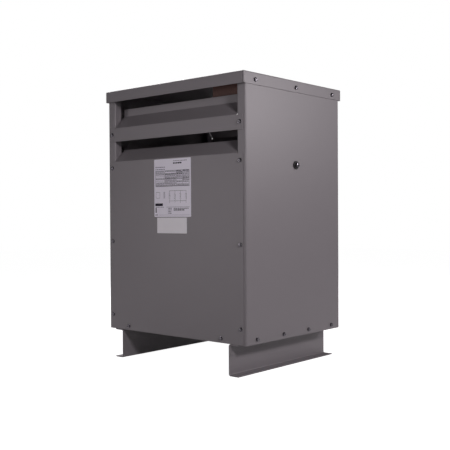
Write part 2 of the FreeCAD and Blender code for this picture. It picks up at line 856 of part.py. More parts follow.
def lead_strap(name, phase, upper):
    """A folded bar from a coil's end to the front of its terminal board."""
    body = doc.addObject("PartDesign::Body", name)
    wall = "low_wall" if upper else "high_wall"
    sign = 1 if upper else -1
    coil_end = "coil_top" if upper else "coil_low"
    tip = "brace_z + strap_end" if upper else "low_yoke_z - strap_end"
    near = plus(coil_end, times(sign, "strap_rise"))
    far = plus(coil_end, times(sign, "strap_rise + strap_thick"))
    points = [(wall + " - strap_thick / 2", coil_end), (wall + " - strap_thick / 2", far),
              ("board_front", far), ("board_front", tip), ("strap_front", tip),
              ("strap_front", near), (wall + " + strap_thick / 2", near),
              (wall + " + strap_thick / 2", coil_end)]
    lift = plus(leg_x(phase), times(sign, "strap_offset"))
    section = new_sketch(body, "section", "YZ_Plane", lift)
    draw_loop(section, [("-(" + y + ")", z) for y, z in points])
    pad(body, section, "strap_width", both_ways=True)
    return body


def terminal_row(name, upper):
    """A board on the clamp's flanges with its three lead straps, and the seats of their bolts."""
    sign = 1 if upper else -1
    low = "window_top" if upper else "core_low"
    level = "brace_z" if upper else "low_yoke_z"
    spots = [plus(leg_x(phase), times(sign, "strap_offset")) for phase in PHASES]
    board = new_body(name + "_terminal_board")
    outline = new_sketch(board, "outline", "XZ_Plane", "clamp_tip")
    ends = [plus(spots[0], "-board_margin"), plus(spots[2], "board_margin")]
    draw_box(outline, ends[0], ends[1], low, plus(low, "yoke_height"))
    pad(board, outline, "board_thick")
    straps = [lead_strap("%s_lead_%s" % (name, PHASES[phase]), phase, upper) for phase in PHASES]
    group(name + "_leads", straps)
    return [(x, "-(strap_front)", level) for x in spots]


def terminals():
    seats = terminal_row("secondary", True) + terminal_row("primary", False)
    heads("terminal_bolts", seats, [Vector(0, -1, 0)] * len(seats), "bolt_across", "bolt_head")


def neutral_bar():
    """A comb-shaped bar that joins the rear ends of the three secondary coils."""
    body = new_body("neutral_bar")
    inner = "low_wall - strap_thick / 2"
    near, far = "neutral_y", "neutral_y + neutral_width"
    edges = []
    for phase in PHASES:
        middle = plus(leg_x(phase), "strap_offset")
        edges.append((plus(middle, "-strap_width / 2"), plus(middle, "strap_width / 2")))
    points = [(edges[0][0], far)]
    for index, (left, right) in enumerate(edges):
        points += [(left, inner), (right, inner)]
        if index < 2:
            points += [(right, near), (edges[index + 1][0], near)]
    points.append((edges[2][1], far))
    comb = new_sketch(body, "comb", "XY_Plane", "coil_top + strap_rise")
    draw_loop(comb, points)
    pad(body, comb, "strap_thick")
    legs = new_sketch(body, "legs", "XY_Plane", "coil_top")
    for left, right in edges:
        draw_box(legs, left, right, inner, "low_wall + strap_thick / 2")
    pad(body, legs, "strap_rise + strap_thick / 2")
    hole_x = plus("leg_pitch", "strap_offset")
    drill(body, "terminal_hole", "XY_Plane", [(hole_x, "neutral_y + neutral_width / 2")], "bolt_hole")


def tap_panels():
    """A board of tap nuts on each primary coil, with a link under the middle two."""
    boards, links, seats = [], [], []
    board_y = "-(coil_front + board_thick)"
    link_y = "-(coil_front + board_thick + tap_link_thick)"
    for phase in PHASES:
        boards.append(box("tap_board_" + PHASES[phase],
                          (plus(leg_x(phase), "-tap_board_width / 2"), board_y,
                           "coil_mid - tap_board_height / 2"),
                          ("tap_board_width", "board_thick", "tap_board_height")))
        links.append(box("tap_link_" + PHASES[phase],
                         (plus(leg_x(phase), "-tap_link_width / 2"), link_y,
                          "coil_mid - tap_pitch / 2 - tap_link_width / 2"),
                         ("tap_link_width", "tap_link_thick", "tap_pitch + tap_link_width")))
        for step, seat_y in zip(FOUR_STEPS, (board_y, link_y, link_y, board_y)):
            seats.append((leg_x(phase), seat_y, "coil_mid + %s * tap_pitch" % step))
    group("tap_boards", boards)
    group("tap_links", links)
    heads("tap_studs", seats, [Vector(0, -1, 0)] * len(seats), "tap_across", "tap_nut")


def ground():
    """A strap from the lower front clamp to the pan, and the ground lug on it."""
    body = new_body("ground_strap")
    tab = "clamp_tip - ground_lap"
    riser = "clamp_tip"
    foot_end = "clamp_tip + ground_thick + ground_reach"
    points = [(tab, "clamp_floor"), (riser, "clamp_floor"), (riser, "pan_top"),
              (foot_end, "pan_top"), (foot_end, "pan_top + ground_thick"),
              (riser + " + ground_thick", "pan_top + ground_thick"),
              (riser + " + ground_thick", "clamp_floor + ground_thick"),
              (tab, "clamp_floor + ground_thick")]
    section = new_sketch(body, "section", "YZ_Plane", "ground_x")
    draw_loop(section, [("-(" + y + ")", z) for y, z in points])
    pad(body, section, "ground_width", both_ways=True)
    low = ("ground_x - ground_width / 2", "-(" + foot_end + ")", "pan_top + ground_thick")
    block = box("ground_lug_block", low, ("ground_width", "lug_length", "lug_height"))
    bore_at = (low[0], plus(low[1], "lug_length / 2"), plus(low[2], "lug_height / 2"))
    bore = cylinder("ground_lug_bore", bore_at, Vector(1, 0, 0), "lug_bore", "ground_width")
    single(cut("ground_lug", block, bore))


def check_and_write():
    """Stop on any failed object or bad shape, then write one file for each node."""
    doc.recompute()
    for item in doc.Objects:
        if {"Invalid", "Error"} & set(item.State):
            raise RuntimeError(item.Name + " failed")
    for node in nodes:
        shape = node.Shape
        if shape.isNull() or not shape.isValid() or not shape.Solids:
            raise RuntimeError(node.Name + " has no good shape")
    for node in nodes:
        node.Label = node.Name
        node.Shape.exportStep("parts/%s.step" % node.Name)
        print("%-32s %2d solids %10.0f mm3" % (node.Name, len(node.Shape.Solids), node.Shape.Volume))
    print(len(nodes), "nodes")


lid()
base_pan()
for each_side in SIDES:
    side_panel(each_side)
    foot(each_side)
    side_brace(each_side)
    brace_grommet(each_side)
for each_face in FACES:
    lower_panel(each_face)
    louvre_band(each_face)
enclosure_screws()
brace_bolts()
barrier_board()
labels()
core()
for each_level in ("lower", "upper"):
    for each_face in FACES:
        clamp(each_level, each_face)
    yoke_bolts(each_level)
    coil_blocks(each_level)
tie_rods()
mounting_bolts()
for each_face in FACES:
    for each_side in SIDES:
        isolation_pad(each_face, each_side)
for each_phase in PHASES:
    winding("secondary", each_phase, "core_gap", "low_out", "tube")
    winding("primary", each_phase, "high_in", "high_out", "coil")
    duct_sticks(each_phase)
terminals()
neutral_bar()
tap_panels()
ground()
check_and_write()
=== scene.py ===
# A floor-standing ventilated dry-type transformer: finishes, fasteners, labels, light and camera.
import json
import math
import random

import bmesh
import bpy
from mathutils import Matrix, Vector


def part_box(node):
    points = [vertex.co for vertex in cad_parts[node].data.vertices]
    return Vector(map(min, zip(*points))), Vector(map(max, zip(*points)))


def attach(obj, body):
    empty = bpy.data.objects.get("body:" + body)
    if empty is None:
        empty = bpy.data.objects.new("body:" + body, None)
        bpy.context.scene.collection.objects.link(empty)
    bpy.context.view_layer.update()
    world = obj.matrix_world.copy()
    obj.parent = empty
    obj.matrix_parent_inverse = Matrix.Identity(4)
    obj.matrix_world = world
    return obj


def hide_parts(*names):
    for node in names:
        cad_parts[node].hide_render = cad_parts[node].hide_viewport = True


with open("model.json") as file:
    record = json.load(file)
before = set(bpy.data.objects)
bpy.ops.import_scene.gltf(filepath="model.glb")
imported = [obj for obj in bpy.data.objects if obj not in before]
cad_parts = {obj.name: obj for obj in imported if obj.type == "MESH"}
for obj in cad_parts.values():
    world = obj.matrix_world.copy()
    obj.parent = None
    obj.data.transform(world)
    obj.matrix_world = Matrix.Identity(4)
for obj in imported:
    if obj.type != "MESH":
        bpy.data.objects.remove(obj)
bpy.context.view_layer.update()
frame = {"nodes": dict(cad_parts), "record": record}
nodes = frame["nodes"]
slotOf = {row["node"]: row["material_slot"] for row in frame["record"]["subparts"]}
scene = bpy.context.scene
mm = 0.001
print("frame loaded with", len(nodes), "nodes")


# Camera

view = {
    "place": (1.6381, -1.8684, 0.4540),
    "turn": 41.137,                     # degrees about the upright axis
    "tilt": -0.793,                     # degrees above the horizon
    "roll": 0.340,
    "lens": 61.83,
    "sensor": 36,
}


def makeCamera():
    data = bpy.data.cameras.new("camera")
    data.lens = view["lens"]
    data.sensor_width = view["sensor"]
    turn = Matrix.Rotation(math.radians(view["turn"]), 4, "Z")
    tilt = Matrix.Rotation(math.radians(90 + view["tilt"]), 4, "X")
    roll = Matrix.Rotation(-math.radians(view["roll"]), 4, "Z")
    camera = bpy.data.objects.new("camera", data)
    scene.collection.objects.link(camera)
    camera.matrix_world = Matrix.Translation(view["place"]) @ turn @ tilt @ roll
    scene.camera = camera


makeCamera()


# Shader nodes

class Wire:                                 # an output socket that works in sums as a number does
    def __init__(self, kit, socket):
        self.kit = kit
        self.socket = socket

    def maths(self, operation, *values):
        return self.kit.node("ShaderNodeMath", {"operation": operation}, dict(enumerate(values)))

    def __add__(self, other):
        return self.maths("ADD", self, other)

    def __radd__(self, other):
        return self.maths("ADD", other, self)

    def __sub__(self, other):
        return self.maths("SUBTRACT", self, other)

    def __rsub__(self, other):
        return self.maths("SUBTRACT", other, self)

    def __mul__(self, other):
        return self.maths("MULTIPLY", self, other)

    def __rmul__(self, other):
        return self.maths("MULTIPLY", other, self)

    def __truediv__(self, other):
        return self.maths("DIVIDE", self, other)

    def __rtruediv__(self, other):
        return self.maths("DIVIDE", other, self)

    def __pow__(self, other):
        return self.maths("POWER", self, other)

    def __rpow__(self, other):
        return self.maths("POWER", other, self)

    def __abs__(self):
        return self.maths("ABSOLUTE", self)

    def apart(self):                        # how far a value is from its nearest whole number, 0 to 1
        return abs(self - self.maths("ROUND", self)) * 2.0


class NodeKit:                              # builds the nodes of one tree
    def __init__(self, tree):
        self.tree = tree

    def feed(self, socket, value):
        if isinstance(value, Wire):
            self.tree.links.new(value.socket, socket)
        else:
            socket.default_value = value

    def node(self, kind, settings=None, inputs=None, output=0):
        made = self.tree.nodes.new(kind)
        for name, value in (settings or {}).items():
            if name == "stops":
                ramp = made.color_ramp
                for spare in range(len(value) - len(ramp.elements)):
                    ramp.elements.new(0.5)
                for stop, (at, shade) in zip(ramp.elements, value):
                    stop.position = at
                    stop.color = (shade, shade, shade, 1)
            else:
                setattr(made, name, value)
        for key, value in (inputs or {}).items():
            self.feed(made.inputs[key], value)
        return Wire(self, made.outputs[output])


class Finish(NodeKit):                      # one material around a Principled shader
    def __init__(self, name, **fixed):
        self.material = bpy.data.materials.new(name)
        self.material.use_nodes = True
        super().__init__(self.material.node_tree)
        self.shader = self.tree.nodes["Principled BSDF"]
        self.setShader(fixed)

    def setShader(self, values):
        for name, value in values.items():
            self.feed(self.shader.inputs[name.replace("_", " ")], value)

    def spot(self):
        return self.node("ShaderNodeTexCoord", output="Object")

    def part(self, axis):
        return self.node("ShaderNodeSeparateXYZ", None, {0: self.spot()}, axis)

    def stretched(self, scale):
        settings = {"operation": "MULTIPLY"}
        return self.node("ShaderNodeVectorMath", settings, {0: self.spot(), 1: scale})

    def noise(self, scale, detail=2.0, where=None):
        inputs = {"Vector": where or self.spot(), "Scale": scale, "Detail": detail}
        return self.node("ShaderNodeTexNoise", None, inputs)

    def ramp(self, value, *stops):
        return self.node("ShaderNodeValToRGB", {"stops": stops}, {0: value})

    def mixed(self, amount, low, high):
        inputs = {0: amount, 6: (*low, 1) if isinstance(low, tuple) else low,
                  7: (*high, 1) if isinstance(high, tuple) else high}
        return self.node("ShaderNodeMix", {"data_type": "RGBA"}, inputs, 2)

    def tinted(self, colour, amount, spread):
        # the colour, darker and lighter by a spread as the amount goes from 0 to 1
        low = tuple(channel * (1 - spread) for channel in colour)
        high = tuple(channel * (1 + spread) for channel in colour)
        return self.mixed(amount, low, high)

    def bump(self, height, strength, distance, edge=0.0):
        inputs = {"Height": height, "Strength": strength, "Distance": distance}
        if edge:
            inputs["Normal"] = self.node("ShaderNodeBevel", {"samples": 6}, {"Radius": edge})
        return self.node("ShaderNodeBump", None, inputs)


# Finishes

paint = {
    "colour": (0.246, 0.228, 0.242),
    "cloud": 0.035,                         # how far the colour drifts over a panel
    "roughness": (0.38, 0.48),
    "grain": 900,                           # grains to a metre
    "edge": 0.6 * mm,
}


def enclosurePaint():
    coat = Finish("enclosurePaint", Specular_IOR_Level=0.7)
    drift = coat.noise(6, 4)
    grain = coat.noise(paint["grain"], 3)
    fine = coat.noise(paint["grain"] * 3, 1)
    low, high = paint["roughness"]
    coat.setShader({
        "Base_Color": coat.tinted(paint["colour"], drift * 0.7 + fine * 0.3, paint["cloud"]),
        "Roughness": low + (high - low) * grain,
        "Normal": coat.bump(grain, 0.16, 0.25 * mm, paint["edge"]),
    })
    return coat.material


def plainMetal(name, colour, roughness, scratch=0.06, edge=0.25 * mm):
    metal = Finish(name, Metallic=1.0)
    patches = metal.noise(180, 4)
    marks = metal.noise(1600, 2)
    metal.setShader({
        "Base_Color": metal.tinted(colour, patches, 0.16),
        "Roughness": roughness + 0.18 * (patches - 0.5),
        "Normal": metal.bump(marks, scratch, 0.1 * mm, edge),
    })
    return metal.material


def rubberFinish():
    rubber = Finish("rubber", Specular_IOR_Level=0.4)
    dust = rubber.noise(260, 4)
    rubber.setShader({
        "Base_Color": rubber.mixed(dust, (0.012, 0.012, 0.013), (0.035, 0.034, 0.033)),
        "Roughness": 0.62 + 0.2 * (dust - 0.5),
        "Normal": rubber.bump(rubber.noise(2200, 2), 0.25, 0.1 * mm, 0.4 * mm),
    })
    return rubber.material


def boardFinish(name, colour, fleck, scale=220):
    board = Finish(name, Specular_IOR_Level=0.35)
    fibre = board.noise(scale, 5, board.stretched((1.0, 1.0, 0.25)))
    speck = board.ramp(board.noise(scale * 5, 2), (0.52, 0.0), (0.70, 1.0))
    board.setShader({
        "Base_Color": board.mixed(speck * fleck, board.tinted(colour, fibre, 0.22),
                                  tuple(min(1.0, channel * 2.2) for channel in colour)),
        "Roughness": 0.52 + 0.25 * (fibre - 0.5),
        "Normal": board.bump(fibre, 0.22, 0.3 * mm, 0.4 * mm),
    })
    return board.material


def laminationFinish():
    # stacked sheets along the core's depth, under a brown varnish
    core = Finish("coreSteel", Metallic=0.75)
    sheets = core.noise(1, 2, core.stretched((0.02, 1900.0, 0.02)))
    seams = core.ramp((core.part("Y") * 420).apart(), (0.0, 0.0), (0.24, 1.0))
    stain = core.noise(14, 5)
    core.setShader({
        "Base_Color": core.mixed(sheets * 0.6 + stain * 0.4, (0.055, 0.040, 0.030), (0.21, 0.165, 0.130)),
        "Roughness": 0.34 + 0.3 * stain,
        "Normal": core.bump(sheets * seams, 0.5, 0.4 * mm, 0.3 * mm),
    })
    return core.material


def windingFinish(name, colour, pitch):
    # varnished insulation over turns that lie one above the other; the hollows between turns are darkened as
    # painted shade, mixed with real stain
    coil = Finish(name, Specular_IOR_Level=0.5)
    hollow = (coil.part("Z") / pitch).apart()
    stain = coil.noise(22, 5)
    weave = coil.noise(700, 3)
    # a darker copy of the colour, for real stain and for painted shade in the hollows between turns
    stainAndShadeColour = tuple(channel * 0.42 for channel in colour)
    coil.setShader({
        "Base_Color": coil.mixed(hollow * 0.35 + stain * 0.65, colour, stainAndShadeColour),
        "Roughness": 0.30 + 0.3 * stain,
        "Coat_Weight": 0.25 + 0.2 * stain,
        "Normal": coil.bump(1 - hollow ** 2.0 + weave * 0.12, 0.5, 0.8 * mm),
    })
    return coil.material


def strapFinish():
    strap = Finish("strapCopper", Metallic=1.0)
    strands = [strap.node("ShaderNodeTexWave", {"bands_direction": "DIAGONAL"},
                          {"Vector": strap.stretched((lean, 1.0, 1.0)), "Scale": 420.0}, "Fac")
               for lean in (-1.0, 1.0)]
    braid = strands[0].maths("MAXIMUM", *strands)
    strap.setShader({
        "Base_Color": strap.mixed(strap.noise(90, 4), (0.42, 0.20, 0.11), (0.66, 0.38, 0.25)),
        "Roughness": 0.32 + 0.2 * braid,
        "Normal": strap.bump(braid, 0.5, 0.3 * mm),
    })
    return strap.material


def filmFinish(name, colour, roughness, shine):
    film = Finish(name, Specular_IOR_Level=shine)
    cloud = film.noise(40, 3)
    film.setShader({
        "Base_Color": film.tinted(colour, cloud, 0.025),
        "Roughness": roughness + 0.10 * (cloud - 0.5),
        "Normal": film.bump(film.noise(500, 2), 0.05, 0.1 * mm),
    })
    return film.material


finishes = {
    "enclosure_paint": enclosurePaint(),
    "screw_steel": plainMetal("screwSteel", (0.21, 0.20, 0.22), 0.24),
    "bolt_steel": plainMetal("boltSteel", (0.50, 0.49, 0.46), 0.34),
    "rivet_aluminium": plainMetal("rivetAluminium", (0.62, 0.62, 0.63), 0.38),
    "rubber": rubberFinish(),
    "barrier_fibre": boardFinish("barrierFibre", (0.150, 0.080, 0.066), 0.25),
    "nameplate_film": filmFinish("nameplateFilm", (0.92, 0.89, 1.0), 0.40, 0.9),
    "sticker_film": filmFinish("stickerFilm", (0.92, 0.90, 0.94), 0.40, 0.9),
    "core_steel": laminationFinish(),
    "clamp_paint": plainMetal("clampPaint", (0.05, 0.05, 0.055), 0.5),
    "secondary_winding": windingFinish("secondaryWinding", (0.36, 0.23, 0.10), 12 * mm),
    "primary_winding": windingFinish("primaryWinding", (0.30, 0.17, 0.07), 5 * mm),
    "insulating_board": boardFinish("insulatingBoard", (0.26, 0.085, 0.050), 0.35, 320),
    "conductor_aluminium": plainMetal("conductorAluminium", (0.66, 0.66, 0.66), 0.32),
    "tap_brass": plainMetal("tapBrass", (0.60, 0.42, 0.17), 0.30),
    "strap_copper": strapFinish(),
}
ink = filmFinish("ink", (0.035, 0.030, 0.045), 0.60, 0.15)
paleInk = filmFinish("paleInk", (0.27, 0.25, 0.31), 0.60, 0.15)
print("finishes made:", len(finishes) + 2)


def dressNodes():
    for node, slot in slotOf.items():
        data = nodes[node].data
        data.materials.clear()
        data.materials.append(finishes[slot])


dressNodes()


# Mesh helpers

sharpAngle = math.radians(32)               # edges that turn more than this stay sharp


def finishPiece(name, mesh, slot, materials=None, replaced=()):
    data = bpy.data.meshes.new(name)
    bmesh.ops.recalc_face_normals(mesh, faces=mesh.faces)
    mesh.to_mesh(data)
    mesh.free()
    for material in materials or [finishes[slot]]:
        data.materials.append(material)
    data.shade_smooth()
    data.set_sharp_from_angle(angle=sharpAngle)
    piece = bpy.data.objects.new(name, data)
    scene.collection.objects.link(piece)
    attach(piece, "root")
    if replaced:
        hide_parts(*replaced)


def stackRings(mesh, rings, where, closed=True):
    # rings of equally many points, joined one to the next, with a cap at each end if closed
    rows = [[mesh.verts.new(where @ Vector(point)) for point in ring] for ring in rings]
    for lower, upper in zip(rows, rows[1:]):
        for index in range(len(lower)):
            after = (index + 1) % len(lower)
            mesh.faces.new((lower[index], lower[after], upper[after], upper[index]))
    if closed:
        mesh.faces.new(rows[0][::-1])
        mesh.faces.new(rows[-1])


def roundRing(radius, height, steps):
    turns = [2 * math.pi * step / steps for step in range(steps)]
    return [(radius * math.cos(turn), radius * math.sin(turn), height) for turn in turns]


def hexRing(across, limit, height, steps):
    # a hexagon whose corners stay inside a circle, which gives a chamfered head
    points = []
    for step in range(steps):
        turn = 2 * math.pi * step / steps
        flat = across / 2 / math.cos((turn + math.pi / 6) % (math.pi / 3) - math.pi / 6)
        radius = min(flat, limit)
        points.append((radius * math.cos(turn), radius * math.sin(turn), height))
    return points


def threadRings(radius, start, end, pitch, steps):
    # a helical thread: each ring's points stand proud by their place along the turn
    depth = 0.32 * pitch
    count = max(2, int(abs(end - start) / pitch * 4))
    rings = []
    for level in range(count + 1):
        height = start + (end - start) * level / count
        ring = []
        for step in range(steps):
            turn = step / steps
            phase = (height / pitch - turn) % 1
            here = radius - depth * abs(2 * phase - 1)
            angle = 2 * math.pi * turn
            ring.append((here * math.cos(angle), here * math.sin(angle), height))
        rings.append(ring)
    return rings


def looseBoxes(name):
    # lowest and highest corners of each separate solid in a node
    mesh = bmesh.new()
    mesh.from_mesh(nodes[name].data)
    bmesh.ops.remove_doubles(mesh, verts=mesh.verts, dist=0.01 * mm)
    waiting = set(mesh.verts)
    boxes = []
    while waiting:
        seeds = [waiting.pop()]
        found = list(seeds)
        while seeds:
            vert = seeds.pop()
            for edge in vert.link_edges:
                other = edge.other_vert(vert)
                if other in waiting:
                    waiting.remove(other)
                    seeds.append(other)
                    found.append(other)
        spots = [vert.co for vert in found]
        low = Vector([min(spot[axis] for spot in spots) for axis in range(3)])
        high = Vector([max(spot[axis] for spot in spots) for axis in range(3)])
        boxes.append((low, high))
    mesh.free()
    return sorted(boxes, key=lambda pair: tuple(round(value, 4) for value in pair[0]))


def standOn(low, high, outward):
    # a matrix at the outer end of a fastener, its +Z pointing out
    outward = Vector(outward)
    middle = (low + high) / 2
    half = Vector([abs(part) for part in outward]).dot(high - low) / 2
    return Matrix.Translation(middle + outward * half) @ outward.to_track_quat("Z", "Y").to_matrix().to_4x4()


def lengthAlong(low, high, outward):
    return Vector([abs(part) for part in outward]).dot(high - low)


# Fasteners

coverScrew = {
    "across": 9.5 * mm,
    "head": 3.6 * mm,
    "washer": 1.2 * mm,
    "washerRadius": 6.5 * mm,
    "dish": 0.8 * mm,                       # depth of the hollow in the head
    "radius": 3.1 * mm,
    "pitch": 1.8 * mm,
    "length": 17 * mm,                      # from the head's top to the tip
    "steps": 36,
}


def addCoverScrew(mesh, where):
    size = coverScrew
    steps = size["steps"]
    base = -(size["head"] + size["washer"])
    corner = size["across"] / math.sqrt(3)
    rim = size["across"] * 0.47
    head = [
        hexRing(size["across"], corner, base + size["washer"] * 0.7, steps),
        hexRing(size["across"], corner, -0.55 * mm, steps),
        hexRing(size["across"], size["across"] * 0.53, -0.22 * mm, steps),
        hexRing(size["across"], rim, 0, steps),
        roundRing(rim * 0.72, 0, steps),
        roundRing(rim * 0.58, -size["dish"] * 0.7, steps),
        roundRing(rim * 0.30, -size["dish"], steps),
    ]
    stackRings(mesh, head, where)
    flange = [
        roundRing(size["washerRadius"] * 0.86, base, steps),
        roundRing(size["washerRadius"] * 0.99, base + 0.08 * mm, steps),
        roundRing(size["washerRadius"], base + 0.35 * mm, steps),
        roundRing(size["washerRadius"] * 0.97, base + 0.62 * mm, steps),
        roundRing(size["washerRadius"] * 0.80, base + 0.92 * mm, steps),
    ]
    stackRings(mesh, flange, where)
    tip = -size["length"]
    shank = threadRings(size["radius"], base, tip + 1.6 * mm, size["pitch"], 14)
    shank.append(roundRing(size["radius"] * 0.35, tip, 14))
    stackRings(mesh, shank, where)


hexBolt = {
    "across": 17 * mm,
    "head": 6.5 * mm,
    "radius": 5 * mm,
    "tail": 3 * mm,                         # of the thread past the nut
    "pitch": 1.5 * mm,
    "threaded": 22 * mm,                    # thread length up from the tip
    "steps": 36,
}
braceBolt = dict(hexBolt, across=13 * mm, radius=4 * mm, pitch=1.25 * mm)


def addHexBlock(mesh, where, size, top, bottom, washerFace):
    # a bolt's head or a nut, chamfered at its outer end or at both
    steps = size["steps"]
    across = size["across"]
    corner = across / math.sqrt(3)
    rings = [roundRing(across * 0.46, bottom, steps)]
    if washerFace:
        faceTop = bottom + 0.4 * mm
        rings.append(roundRing(across * 0.46, faceTop, steps))
        rings.append(hexRing(across, corner, faceTop, steps))
    else:
        rings.append(hexRing(across, across * 0.5, bottom, steps))
        rings.append(hexRing(across, corner, bottom + 0.9 * mm, steps))
    rings.append(hexRing(across, corner, top - 0.9 * mm, steps))
    rings.append(hexRing(across, across * 0.53, top - 0.3 * mm, steps))
    rings.append(hexRing(across, across * 0.475, top, steps))
    stackRings(mesh, rings, where)


def addBolt(mesh, where, length, size):
    # a head on top, its nut at the other end of the length, and the thread's end past it
    addHexBlock(mesh, where, size, 0, -size["head"], True)
    nutTop = size["head"] - length
    addHexBlock(mesh, where, size, nutTop, -length, False)
    plainEnd = min(nutTop + size["threaded"], -size["head"])
    addThread(mesh, where, -size["head"] + 0.2 * mm, plainEnd, -length - size["tail"], size)


def addThread(mesh, where, top, plainEnd, tip, size):
    steps = 20
    rings = [roundRing(size["radius"] * 0.97, top, steps)]
    rings += threadRings(size["radius"], plainEnd, tip + 0.8 * mm, size["pitch"], steps)
    rings.append(roundRing(size["radius"] * 0.72, tip, steps))
    stackRings(mesh, rings, where)


def addNut(mesh, where, length, size):
    # a nut on its washer, with the stud's end standing out of it
    addHexBlock(mesh, where, size, 0, -length + 1.2 * mm, False)
    washer = [roundRing(radius * size["across"], height, size["steps"])
              for radius, height in ((0.55, -length), (0.62, -length + 0.2 * mm),
                                     (0.62, -length + 1.0 * mm), (0.58, -length + 1.2 * mm))]
    stackRings(mesh, washer, where)
    flipped = where @ Matrix.Rotation(math.pi, 4, "X")
    addThread(mesh, flipped, length, length * 0.5, -size["tail"], size)


def sideways(middle):
    return (math.copysign(1, middle.x), 0, 0)


def endways(middle):
    return (0, math.copysign(1, middle.y), 0)


def downwards(middle):
    return (0, 0, -1)


screwNodes = {
    "front_cover_screws": endways,
    "rear_cover_screws": endways,
    "side_screws": sideways,
    "lid_screws": sideways,
}
tapStud = dict(hexBolt, across=13 * mm, radius=4 * mm, tail=5 * mm)
boltNodes = {
    "brace_bolts": (addBolt, sideways, braceBolt),
    "lower_yoke_bolts": (addNut, endways, hexBolt),
    "upper_yoke_bolts": (addNut, endways, hexBolt),
    "terminal_bolts": (addNut, endways, hexBolt),
    "tap_studs": (addNut, endways, tapStud),
    "tie_rods": (addBolt, downwards, hexBolt),
    "mounting_bolts": (addBolt, downwards, hexBolt),
}


def pieceName(node):
    words = node.split("_")
    return words[0] + "".join(word.capitalize() for word in words[1:])


def makeFasteners():
    turns = random.Random(11)               # each head stops at its own turn
    for node, facing in screwNodes.items():
        mesh = bmesh.new()
        for low, high in looseBoxes(node):
            spin = Matrix.Rotation(turns.uniform(0, math.pi / 3), 4, "Z")
            addCoverScrew(mesh, standOn(low, high, facing((low + high) / 2)) @ spin)
        finishPiece(pieceName(node), mesh, slotOf[node], replaced=[node])
    for node, (addOne, facing, size) in boltNodes.items():
        mesh = bmesh.new()
        for low, high in looseBoxes(node):
            outward = facing((low + high) / 2)
            spin = Matrix.Rotation(turns.uniform(0, math.pi / 3), 4, "Z")
            addOne(mesh, standOn(low, high, outward) @ spin, lengthAlong(low, high, outward), size)
        finishPiece(pieceName(node), mesh, slotOf[node], replaced=[node])


makeFasteners()
print("fasteners made")


# Rubber grommets round the brace bolts

grommet = {
    "steps": 56,
    "outside": 3.5 * mm,                    # height over the side panel
    "inside": 4.0 * mm,
    "neck": 8.85 * mm,
    "bore": 4.15 * mm,
    "rounding": 1.3 * mm,
}


def grommetRings(radius, length):
    # from the bore's outer end, over the outer lip, down the neck and over the inner lip
    size = grommet
    curve = size["rounding"]
    sheetTop, sheetLow = -size["outside"], -(length - size["inside"])
    profile = [(size["bore"], -0.5 * mm), (size["bore"] + 0.6 * mm, 0)]
    for share in range(7):
        angle = math.pi / 2 * share / 6
        profile.append((radius - curve + curve * math.sin(angle), -curve + curve * math.cos(angle)))
    profile += [(radius, sheetTop + 0.3 * mm), (radius - 0.3 * mm, sheetTop), (size["neck"], sheetTop)]
    profile += [(size["neck"], sheetLow), (radius - 0.3 * mm, sheetLow), (radius, sheetLow - 0.3 * mm)]
    for share in range(7):
        angle = math.pi / 2 * share / 6
        profile.append((radius - curve + curve * math.cos(angle), -length + curve - curve * math.sin(angle)))
    profile += [(size["bore"] + 0.6 * mm, -length), (size["bore"], -length + 0.5 * mm)]
    return [roundRing(out, height, size["steps"]) for out, height in profile]


def makeGrommets():
    for side in ("left", "right"):
        node = "brace_grommet_" + side
        low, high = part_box(node)
        outward = sideways((low + high) / 2)
        rings = grommetRings((high.y - low.y) / 2, high.x - low.x)
        mesh = bmesh.new()
        stackRings(mesh, rings + [rings[0]], standOn(low, high, outward), closed=False)
        bmesh.ops.remove_doubles(mesh, verts=mesh.verts, dist=0.001 * mm)
        finishPiece(pieceName(node), mesh, "rubber", replaced=[node])


makeGrommets()
print("grommets made")


# Painted spots of weld that close the foot of the gap at each blade's end

endWeld = {
    "across": (251.1 * mm, 254.8 * mm),     # from the blade's end to the post's lip
    "slope": math.radians(44),              # of a blade, from upright
    "bend": (4.5 * mm, 2.6 * mm),           # outer and inner radius where the blade starts
    "along": 8 * mm,
    "drop": {"panel": 39.35 * mm, "louvre_band": 62.35 * mm},   # of the blade's foot under the cover's top
}


def weldProfile():
    # depth and height over the blade's foot, up the outer side and down the inner one
    outer, inner = endWeld["bend"]
    slope = endWeld["slope"]
    start = -outer * math.tan(slope / 2)
    sides = []
    for radius in (outer, inner):
        bend = [(outer - radius * math.cos(slope * share), start + radius * math.sin(slope * share))
                for share in (0.01, 0.35, 0.7, 1.0)]
        end = bend[-1]
        straight = endWeld["along"]
        sides.append(bend + [(end[0] + straight * math.sin(slope), end[1] + straight * math.cos(slope))])
    return sides[0] + sides[1][::-1]


def makeEndWelds():
    mesh = bmesh.new()
    profile = weldProfile()
    for cover, drop in endWeld["drop"].items():
        for end, side in (("front_", -1), ("rear_", 1)):
            low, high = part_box(end + cover)
            face = high.y if side > 0 else low.y
            foot = high.z - drop
            for hand in (-1, 1):
                rings = [[(hand * x, face - side * depth, foot + height) for depth, height in profile]
                         for x in endWeld["across"]]
                stackRings(mesh, rings, Matrix())
    finishPiece("bladeEndWelds", mesh, "enclosure_paint")


makeEndWelds()
print("blade ends welded")


# A nameplate with ruled fields and bars, and a plain sticker

